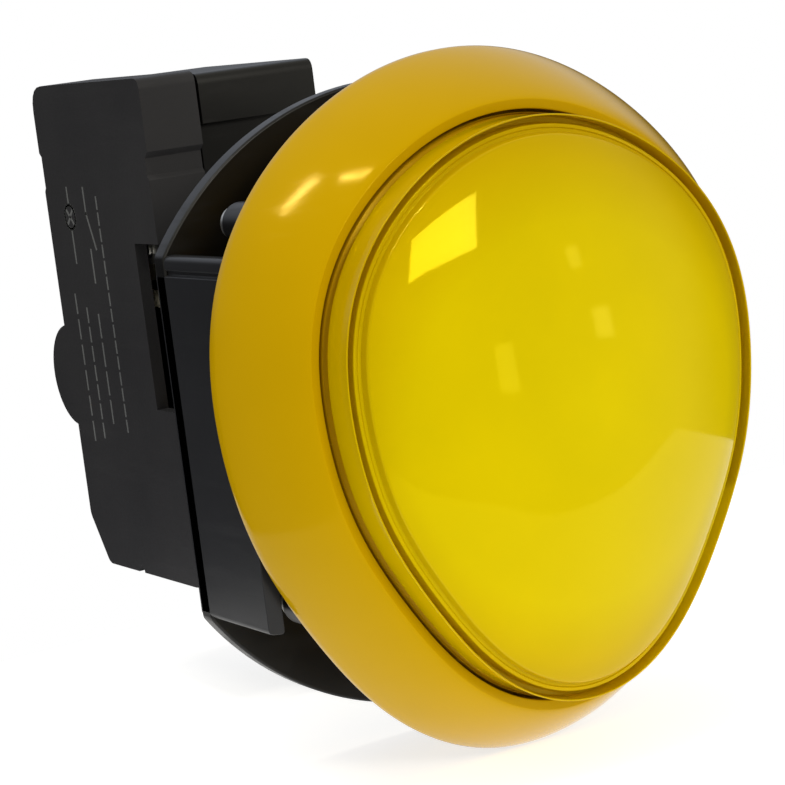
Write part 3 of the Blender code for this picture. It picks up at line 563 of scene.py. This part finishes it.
def make_plunger():
    """The moving cup whose wall shows in the groove round the lens, with its two legs behind."""
    profile = rounded([
        (CUP_RIDGE, CUP_FRONT, 0.15 * MM),
        (CUP_RIDGE, -7.6 * MM, 0.15 * MM),
        (CUP_WALL, -7.2 * MM, 0.15 * MM),
        (CUP_WALL, 7.3 * MM, 0),
        (CUP_FLANGE, 7.3 * MM, 0.3 * MM),
        (CUP_FLANGE, 8.5 * MM, 0.3 * MM),
        (CUP_INNER, 8.5 * MM, 0.3 * MM),
        (CUP_INNER, FLOOR_REAR, 0),
    ], steps=4)[:-1]
    rings = [face_ring(offset, y) for offset, y in profile] + [face_ring(CUP_INNER, FLOOR_REAR)]
    hole = ((9.3 * MM, FLOOR_REAR), (9.0 * MM, 3.7 * MM), (9.0 * MM, 2.7 * MM), (9.3 * MM, FLOOR_FRONT))
    rings += [round_ring(radius, y) for radius, y in hole]
    rings += [face_ring(CUP_INNER, FLOOR_FRONT), face_ring(CUP_INNER, CUP_FRONT)]
    cup = loft("plunger_cup", rings)
    legs = []
    for side, rear in LEG_REARS:
        low_x, high_x = sorted((side * LEG_INNER, side * LEG_OUTER))
        legs.append(box(f"leg_{side}", (low_x, 3.4 * MM, LEG_LOW), (high_x, rear, LEG_HIGH)))
    legs = softened(joined("plunger_legs", legs), 0.3 * MM)
    finished(legs, "button", INNER_YELLOW)
    return finished(cup, "button", INNER_YELLOW, ["plunger"], angle=35)


# ---------------------------------------------------------------- frame

FRAME_RADIUS = 30.0 * MM
FRAME_FLAT = 24.8 * MM
PLATE_FRONT = 12.0 * MM
PLATE_REAR = 14.0 * MM
BARREL_BORE = 7.6 * MM
BARREL_RADIUS = 9.0 * MM
BARREL_REAR = 35.7 * MM
SCREW_ANGLES = (47, 133, 227, 313)
SCREW_OFFSET = 5.4 * MM
SPRING_PLACES = ((-9, -13.5), (9, -13.5), (-11, 15), (11, 15))


def screw_place(angle):
    return face_point(math.radians(angle), SCREW_OFFSET)


def make_plate():
    """The round rear plate with two flats, open to the barrel in its middle, with slots for the two legs."""
    flat_turn = math.degrees(math.acos(FRAME_FLAT / FRAME_RADIUS))
    outline = arc((0, 0), FRAME_RADIUS, flat_turn, 180 - flat_turn, 60)
    outline += arc((0, 0), FRAME_RADIUS, 180 + flat_turn, 360 - flat_turn, 60)
    plate = prism("frame_plate", outline, PLATE_FRONT, PLATE_REAR, plane="XZ")
    before, behind = 8 * MM, 18 * MM
    bore = turned("bore", [(BARREL_BORE, before), (BARREL_BORE, behind)], closed=False)
    cut(plate, bore, *[leg_way(side, before, behind) for side in (-1, 1)])
    softened(plate, 0.35 * MM)
    # The plate takes the darker black, which is painted shade
    return finished(plate, "housing", PAINTED_SHADE_BLACK, ["housing_frame"])


def make_straps():
    """The flat sides that join the flange to the plate, each with a raised lip and a groove near its ends."""
    reach = math.sqrt(FRAME_RADIUS ** 2 - FRAME_FLAT ** 2)
    outer = FRAME_FLAT
    inner = FRAME_FLAT - 1.6 * MM
    for side, name in ((-1, "left"), (1, "right")):
        corners = [
            (side * inner, -reach, 0.4 * MM),
            (side * outer, -reach + 0.25 * MM, 0.5 * MM),
            (side * outer, reach - 1.75 * MM, 0.1 * MM),
            (side * (outer - 0.35 * MM), reach - 1.6 * MM, 0.1 * MM),
            (side * (outer - 0.35 * MM), reach - 1.35 * MM, 0.12 * MM),
            (side * (outer - 0.05 * MM), reach - 1.1 * MM, 0.3 * MM),
            (side * (outer - 0.1 * MM), reach + 0.1 * MM, 0.7 * MM),
            (side * inner, reach + 0.1 * MM, 0.4 * MM),
        ]
        strap = prism(f"frame_strap_{name}", rounded(corners), 0.75 * MM, PLATE_REAR, plane="XZ")
        softened(strap, 0.4 * MM, angle=60)
        finished(strap, "housing", BODY_BLACK, angle=50)


def make_flange():
    """The ring behind the bezel, its screw ears, and the rear plate's spring posts."""
    ring = face_loft("frame_flange", rounded([
        (3.5 * MM, 0.7 * MM, 0.15 * MM),
        (5.1 * MM, 0.7 * MM, 0.15 * MM),
        (5.1 * MM, 2.4 * MM, 0.3 * MM),
        (3.5 * MM, 2.4 * MM, 0.3 * MM),
    ], steps=3))
    # The flange, ears and spring posts take the darker black, which is painted shade
    finished(ring, "housing", PAINTED_SHADE_BLACK)
    ears = []
    for angle in SCREW_ANGLES:
        ears.append(turned("ear", rounded([
            (1.9 * MM, 0.7 * MM, 0.1 * MM), (1.9 * MM, 4.5 * MM, 0.3 * MM),
            (0.95 * MM, 4.5 * MM, 0.15 * MM), (0.95 * MM, 0.7 * MM, 0),
        ], steps=3), screw_place(angle), sides=48))
    finished(joined("frame_ears", ears), "housing", PAINTED_SHADE_BLACK)
    posts = []
    for x, z in SPRING_PLACES:
        posts.append(turned("post", rounded([
            (0.0001, 9.1 * MM, 0), (1.5 * MM, 9.1 * MM, 0.4 * MM),
            (1.5 * MM, 12.2 * MM, 0), (0.0001, 12.2 * MM, 0),
        ], steps=3, closed=False), (x * MM, z * MM), sides=32, closed=False))
    finished(joined("frame_spring_posts", posts), "housing", PAINTED_SHADE_BLACK)


def make_barrel():
    """The lamp barrel behind the plate: foot fillet, locking collar, lead-in, and a way past for each leg."""
    barrel = turned("frame_barrel", rounded([
        (BARREL_BORE, 12.3 * MM, 0),
        (10.4 * MM, 12.3 * MM, 0),
        (10.4 * MM, 14.1 * MM, 0.2 * MM),
        (BARREL_RADIUS, 15.6 * MM, 0.9 * MM),
        (BARREL_RADIUS, 29.4 * MM, 0.2 * MM),
        (9.6 * MM, 29.8 * MM, 0.2 * MM),
        (9.6 * MM, 31.4 * MM, 0.2 * MM),
        (BARREL_RADIUS, 31.8 * MM, 0.2 * MM),
        (BARREL_RADIUS, BARREL_REAR, 0.5 * MM),
        (BARREL_BORE, BARREL_REAR, 0.3 * MM),
    ], steps=4), sides=128)
    cut(barrel, *[leg_way(side, PLATE_FRONT, BARREL_REAR + 0.5 * MM) for side in (-1, 1)])
    return finished(barrel, "housing", BODY_BLACK)


def make_screws():
    """Pan-head screws with a cross recess."""
    for number, angle in enumerate(SCREW_ANGLES, 1):
        x, z = screw_place(angle)
        profile = [(0.0001, 6.2 * MM)]
        profile += [(1.6 * MM * math.sin(t), 4.8 * MM + 1.4 * MM * math.cos(t) ** 0.7)
                    for t in (math.radians(a) for a in (15, 30, 45, 60, 72, 82, 88))]
        profile += [(1.6 * MM, 4.8 * MM), (0.7 * MM, 4.8 * MM), (0.7 * MM, -2.2 * MM), (0.0001, -3.0 * MM)]
        screw = turned(f"screw_{number}", profile, (x, z), sides=48, closed=False)
        for wide, tall in ((1.0 * MM, 0.22 * MM), (0.22 * MM, 1.0 * MM)):
            slot = box("slot", (x - wide, 5.5 * MM, z - tall), (x + wide, 7 * MM, z + tall))
            cut(screw, slot)
        finished(screw, "housing", STEEL, [f"bezel_screw_{number}"])


def make_springs():
    """Compression springs with closed ends."""
    front, rear, wire_radius, radius = 4.55 * MM, 11.45 * MM, 0.25 * MM, 2.3 * MM
    turns, steps, sides = 6.0, 30, 10
    count = int(turns * steps)
    for number, (x, z) in enumerate(SPRING_PLACES, 1):
        rings = []
        for i in range(count + 1):
            share = i / count
            along = min(max((share - 0.13) / 0.74, 0.0), 1.0)
            y = front + (rear - front) * (along * 0.86 + share * 0.14)
            turn = 2 * math.pi * turns * share
            outward = Vector((math.cos(turn), 0, math.sin(turn)))
            centre = Vector((x * MM, y, z * MM)) + outward * radius
            ring = []
            for k in range(sides):
                roll = 2 * math.pi * k / sides
                ring.append(centre + outward * wire_radius * math.cos(roll)
                            + Vector((0, wire_radius * math.sin(roll), 0)))
            rings.append(ring)
        spring = loft(f"spring_{number}", rings, closed=False)
        finished(spring, "housing", SPRING, [f"return_spring_{number}"])
        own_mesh(spring)


# ---------------------------------------------------------------- lamp and switch block

COVER_LEFT = -13.6 * MM
SEAM = -7.3 * MM
BASE_RIGHT = 6.3 * MM


def block_corners(inset, raised):
    """The block's side outline, as (y, z, rounding), with small moulded steps on its front and rear edges."""
    top = 32.6 * MM - inset - (0 if raised else 0.3 * MM)
    bottom = -19.8 * MM + inset
    front = 36.3 * MM + inset
    rear = 62.9 * MM - inset
    return [
        (front - 0.4 * MM, top, 1.2 * MM),
        (rear, top, 2.8 * MM),
        (rear, 25.4 * MM, 0.1 * MM),
        (rear - 0.45 * MM, 25.0 * MM, 0.1 * MM),
        (rear - 0.45 * MM, 21.6 * MM, 0.1 * MM),
        (rear - 0.15 * MM, 21.2 * MM, 0.1 * MM),
        (rear - 0.15 * MM, bottom + 5.2 * MM, 1.6 * MM),
        (rear - 3.6 * MM, bottom, 1.4 * MM),
        (front, bottom, 2.0 * MM),
        (front, 22.4 * MM, 0.1 * MM),
        (front + 0.35 * MM, 22.8 * MM, 0.1 * MM),
        (front + 0.35 * MM, 24.6 * MM, 0.1 * MM),
        (front - 0.4 * MM, 25.2 * MM, 0.1 * MM),
    ]


def boss(name, inset, left, right):
    """The half-round swelling on the block's rear, about an axis along X."""
    radius = 5.6 * MM - inset
    return turned(name, [(radius, left), (radius, right)], (61.7 * MM, 1.0 * MM), 72, "X", False)


def make_cover():
    """The side cover: a shell with half the boss, a slot that shows the lever, and an opening for the leg."""
    cover = prism("cover_shell", rounded(block_corners(0, True)), COVER_LEFT, SEAM)
    combined(cover, boss("boss", 0, COVER_LEFT, SEAM), "UNION")
    wall = 1.3 * MM
    hollow = prism("hollow", rounded(block_corners(wall, True)), COVER_LEFT + wall, SEAM + MM)
    slot = box("slot", (COVER_LEFT - MM, 34 * MM, -1.4 * MM), (SEAM + MM, 41.8 * MM, 15.9 * MM))
    opening = box("opening", (COVER_LEFT + wall, 34 * MM, LEG_WAY_LOW), (SEAM + MM, 38.9 * MM, -0.4 * MM))
    notch_profile = [(0.7 * MM, COVER_LEFT - MM), (0.7 * MM, COVER_LEFT + MM)]
    notch = turned("notch", notch_profile, (51.2 * MM, -19.7 * MM), 24, "X", False)
    cut(cover, hollow, slot, opening, notch)
    softened(cover, 0.3 * MM, segments=2)
    return finished(cover, "housing", COVER_DARK, ["block_cover"], angle=30)


def make_base():
    """The block's body, with the lamp's bore, the switch's chamber, terminal slots and the latch beneath."""
    left = SEAM + 0.3 * MM
    base = prism("base_shell", rounded(block_corners(0, False)), left, BASE_RIGHT)
    combined(base, boss("boss", 0, left, BASE_RIGHT), "UNION")
    latch = prism("latch", [(38.0 * MM, -18.8 * MM), (56.5 * MM, -18.8 * MM), (56.5 * MM, -20.3 * MM),
                            (38.0 * MM, -22.4 * MM)], -6.0 * MM, 4.0 * MM)
    combined(base, latch, "UNION")
    bore = turned("bore", [(6.2 * MM, 30 * MM), (6.2 * MM, 56.0 * MM)], closed=False)
    chamber = box("chamber", (left - MM, 39.3 * MM, 8.0 * MM), (3.3 * MM, 60.9 * MM, 30.4 * MM))
    panel = box("panel", (left - MM, 34 * MM, 8.4 * MM), (BASE_RIGHT - 1.6 * MM, 36.9 * MM, 27.2 * MM))
    cut(base, bore, chamber, panel)
    for z in (27.0, 20.0, 13.0):
        cut(base, box("slot", (-6.9 * MM, 58.9 * MM, (z - 0.7) * MM), (-1.5 * MM, 64 * MM, (z + 0.7) * MM)))
    for side in (-1, 1):
        low_z, high_z = sorted((side * 2.7 * MM, side * 4.1 * MM))
        cut(base, box("slot", (-2.7 * MM, 55 * MM, low_z), (2.7 * MM, 68.5 * MM, high_z)))
    softened(base, 0.35 * MM, segments=2)
    # The block base takes the darker black, which is painted shade
    return finished(base, "housing", PAINTED_SHADE_BLACK, ["block_base"], angle=30)


def stroke(points, width):
    """A flat printed stroke through (y, z) points on the cover, as thin slabs."""
    slabs = []
    for (ay, az), (by, bz) in zip(points, points[1:]):
        along = Vector((by - ay, bz - az))
        side = Vector((-along.y, along.x)).normalized() * width / 2
        tip = along.normalized() * width / 2
        a = Vector((ay, az)) - tip
        b = Vector((by, bz)) + tip
        outline = [(a + side)[:], (b + side)[:], (b - side)[:], (a - side)[:]]
        slabs.append(prism("stroke", outline, COVER_LEFT - 0.015 * MM, COVER_LEFT + 0.02 * MM))
    return slabs


def make_marks():
    """Plain circuit symbols printed on the cover: a lamp, a switch, and dashed rules beside them."""
    slabs = []
    width = 0.32 * MM
    middle = Vector((57.0 * MM, 18.5 * MM))
    radius = 1.3 * MM
    slabs += stroke(arc(middle, radius, 0, 360, 24), width)
    for turn in (45, 135):
        reach = Vector((math.cos(math.radians(turn)), math.sin(math.radians(turn)))) * radius
        slabs += stroke([(middle + reach)[:], (middle - reach)[:]], width)
    lines = ((57.0, 21.6, 57.0, 19.8), (57.0, 17.2, 57.0, 13.6), (52.8, 21.6, 52.8, 18.9),
             (52.8, 18.9, 51.4, 15.2), (52.8, 15.0, 52.8, 11.6))
    for ay, az, by, bz in lines:
        slabs += stroke([(ay * MM, az * MM), (by * MM, bz * MM)], width)
    rows = ((58.6, 10.0, -6.0, 1.9, 0.9), (56.0, 8.6, -6.2, 1.4, 0.7), (53.2, 8.0, -5.4, 2.3, 0.8),
            (49.8, 20.6, -5.8, 1.1, 0.6))
    for y, start, end, dash, gap in rows:
        z = start
        while z - dash > end:
            slabs += stroke([(y * MM, z * MM), (y * MM, (z - dash) * MM)], width)
            z -= dash + gap
    marks = joined("cover_marks", slabs)
    return finished(marks, "housing", INK)


def make_terminals():
    """Stamped tabs with chamfered ends, one for each CAD terminal's free end."""
    tabs = [("common", -6.6, 27.0), ("closed", -6.6, 20.0), ("open", -6.6, 13.0), ("lamp_upper", -2.4, 3.4),
            ("lamp_lower", -2.4, -3.4)]
    for name, left, z in tabs:
        low, high = left * MM, (left + 4.8) * MM
        outline = rounded([
            (low, 60.0 * MM, 0), (high, 60.0 * MM, 0),
            (high, 68.9 * MM, 0.2 * MM), (high - 1.1 * MM, 70.0 * MM, 0.2 * MM),
            (low + 1.1 * MM, 70.0 * MM, 0.2 * MM), (low, 68.9 * MM, 0.2 * MM),
        ], steps=3)

        def build(work, outline=outline, z=z):
            near = [work.verts.new((x, y, (z - 0.41) * MM)) for x, y in outline]
            far = [work.verts.new((x, y, (z + 0.41) * MM)) for x, y in outline]
            work.faces.new(near)
            work.faces.new(far)
            bridge(work, near, far)

        tab = new_object(f"{name}_tab", mesh_of(f"{name}_tab", build))
        softened(tab, 0.1 * MM, segments=2)
        finished(tab, "housing", BRASS)


def make_bulb():
    """The wedge bulb's glass, with a drawn-out shoulder."""
    nose = 28.0 * MM
    outer = [(3.4 * MM, 43.9 * MM), (3.9 * MM, 43.2 * MM), (4.6 * MM, 41.2 * MM), (5.0 * MM, 39.0 * MM)]
    outer += arc((0, nose), 5.0 * MM, 0, -89, 16)
    inner = arc((0, nose), 4.4 * MM, -89, 0, 16)
    inner += [(4.4 * MM, 39.0 * MM), (4.0 * MM, 41.2 * MM), (3.3 * MM, 43.2 * MM), (2.9 * MM, 43.9 * MM)]
    glass = turned("bulb_envelope", outer + inner, sides=72)
    return finished(glass, "housing", BULB_GLASS, ["lamp_glass"])


CARRIED = {
    "panel_gasket": RUBBER, "diffuser": DIFFUSER_WHITE, "lamp_filament": SPRING, "lamp_wedge": CREAM,
    "lamp_socket": CREAM, "lamp_contact_upper": BRASS, "lamp_contact_lower": BRASS, "lever_axle": STEEL,
    "switch_lever": STEEL, "switch_pin": CREAM, "switch_blade": BRASS, "closed_contact": SILVER,
    "open_contact": SILVER, "closed_terminal": BRASS, "open_terminal": BRASS, "common_terminal": BRASS,
}


def finish_carried_nodes():
    for node, finish in CARRIED.items():
        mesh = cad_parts[node].data
        mesh.materials.clear()
        mesh.materials.append(finish)


# ---------------------------------------------------------------- studio and camera

FLOOR_HALF_SIZE = 0.08
FLOOR_SHIFT = 0.02
FLOOR_GAP = 0.3 * MM
WARM = (1.0, 0.95, 0.85)
FRONT = (0.61, 0.585, 0.51)
REAR_LOW = (0.03, 0.03, 0.033)
REAR_HIGH = (0.62, 0.66, 0.74)
LIGHT_DISTANCE = 0.8
LIGHTS = (
    ("window", (0.06, -0.90, 0.42), 0.30, 0.20, 2.3),
    ("ceiling_strip_1", (-0.52, 0.11, 0.85), 0.04, 0.20, 0.9),
    ("ceiling_strip_2", (-0.31, -0.16, 0.93), 0.20, 0.03, 0.9),
    ("lamp_1", (0.56, -0.82, 0.15), 0.035, 0.05, 0.012),
    ("lamp_2", (0.60, -0.80, -0.02), 0.04, 0.05, 0.016),
    ("lamp_3", (0.32, -0.94, -0.07), 0.06, 0.10, 0.04),
)
CAMERA_PLACE = (-0.12649, -0.20230, 0.03772)
CAMERA_YAW = 29.994
CAMERA_PITCH = 8.565
CAMERA_ROLL = -7.088
CAMERA_LENS = 120.5
CAMERA_SENSOR = 36.0


def make_floor():
    """A small pale table top under the object, which gives off some light of its own."""
    level = CAD_BOX[0].z - FLOOR_GAP
    work = bmesh.new()
    bmesh.ops.create_grid(work, x_segments=24, y_segments=24, size=FLOOR_HALF_SIZE)
    mesh = bpy.data.meshes.new("studio_floor")
    work.to_mesh(mesh)
    work.free()
    floor = new_object("studio_floor", mesh)
    floor.location = (FLOOR_SHIFT, 0.0, level)
    look = Nodes("studio_white")
    look.colour(look.ramp(look.noise(8.0, 2.0), [(0.3, (0.60, 0.60, 0.60)), (0.7, (0.62, 0.62, 0.62))]))
    look.set(Roughness=0.9, Specular_IOR_Level=0.1)
    look.set(Emission_Color=(1.0, 1.0, 1.0, 1.0), Emission_Strength=0.72)
    floor.data.materials.append(look.material)


def softbox(name, place, width, height, power):
    """A warm rectangular light that faces the origin."""
    lamp = bpy.data.lights.new(name, "AREA")
    lamp.shape = "RECTANGLE"
    lamp.size = width
    lamp.size_y = height
    lamp.energy = power
    lamp.color = WARM
    made = bpy.data.objects.new(name, lamp)
    made.location = place
    made.rotation_euler = (-place).to_track_quat("-Z", "Y").to_euler()
    bpy.context.scene.collection.objects.link(made)


def make_world():
    """White to the camera. To the object it is bright in front, and dark low behind and at the right."""
    world = bpy.data.worlds.new("studio")
    world.use_nodes = True
    tree = world.node_tree
    add = tree.nodes.new

    def spread(source, low, high):
        node = add("ShaderNodeMapRange")
        node.interpolation_type = "SMOOTHSTEP"
        node.inputs["From Min"].default_value = low
        node.inputs["From Max"].default_value = high
        tree.links.new(source, node.inputs["Value"])
        return node.outputs["Result"]

    def mix(share, first, second):
        node = add("ShaderNodeMix")
        node.data_type = "RGBA"
        tree.links.new(share, node.inputs["Factor"])
        for socket, value in ((node.inputs[6], first), (node.inputs[7], second)):
            if isinstance(value, tuple):
                socket.default_value = (*value, 1.0)
            else:
                tree.links.new(value, socket)
        return node.outputs[2]

    direction = add("ShaderNodeSeparateXYZ")
    tree.links.new(add("ShaderNodeTexCoord").outputs["Generated"], direction.inputs["Vector"])
    rear = mix(spread(direction.outputs["Z"], 0.05, 0.35), REAR_LOW, REAR_HIGH)
    left = mix(spread(direction.outputs["Y"], 0.10, 0.65), FRONT, rear)
    surround = mix(spread(direction.outputs["X"], 0.80, 0.97), left, REAR_LOW)
    shown = mix(add("ShaderNodeLightPath").outputs["Is Camera Ray"], surround, (1.0, 1.0, 1.0))
    tree.links.new(shown, tree.nodes["Background"].inputs["Color"])
    bpy.context.scene.world = world


def make_lights():
    """A window in front, two ceiling strips and three small lamps, which show as highlights."""
    make_world()
    for name, direction, width, height, power in LIGHTS:
        softbox(name, Vector(direction) * LIGHT_DISTANCE, width, height, power)


def make_camera():
    """The camera looks at the button from its front left and a little above, rolled by a few degrees."""
    yaw, pitch, roll = (math.radians(angle) for angle in (CAMERA_YAW, CAMERA_PITCH, CAMERA_ROLL))
    forward = Vector((math.sin(yaw) * math.cos(pitch), math.cos(yaw) * math.cos(pitch), -math.sin(pitch)))
    level = Vector((math.cos(yaw), -math.sin(yaw), 0))
    above = level.cross(forward)
    right = math.cos(roll) * level + math.sin(roll) * above
    up = math.cos(roll) * above - math.sin(roll) * level
    lens = bpy.data.cameras.new("camera")
    lens.sensor_width = CAMERA_SENSOR
    lens.lens = CAMERA_LENS
    lens.clip_start = 0.01
    camera = bpy.data.objects.new("camera", lens)
    turned_by = Matrix((right, up, -forward)).transposed().to_4x4()
    camera.matrix_world = Matrix.Translation(CAMERA_PLACE) @ turned_by
    bpy.context.scene.collection.objects.link(camera)
    bpy.context.scene.camera = camera


make_camera()
make_bezel()
make_lens()
make_plunger()
make_plate()
make_straps()
make_flange()
make_barrel()
make_screws()
make_springs()
make_cover()
make_base()
make_marks()
make_terminals()
make_bulb()
finish_carried_nodes()
make_floor()
make_lights()
bpy.context.scene.view_settings.view_transform = "Standard"
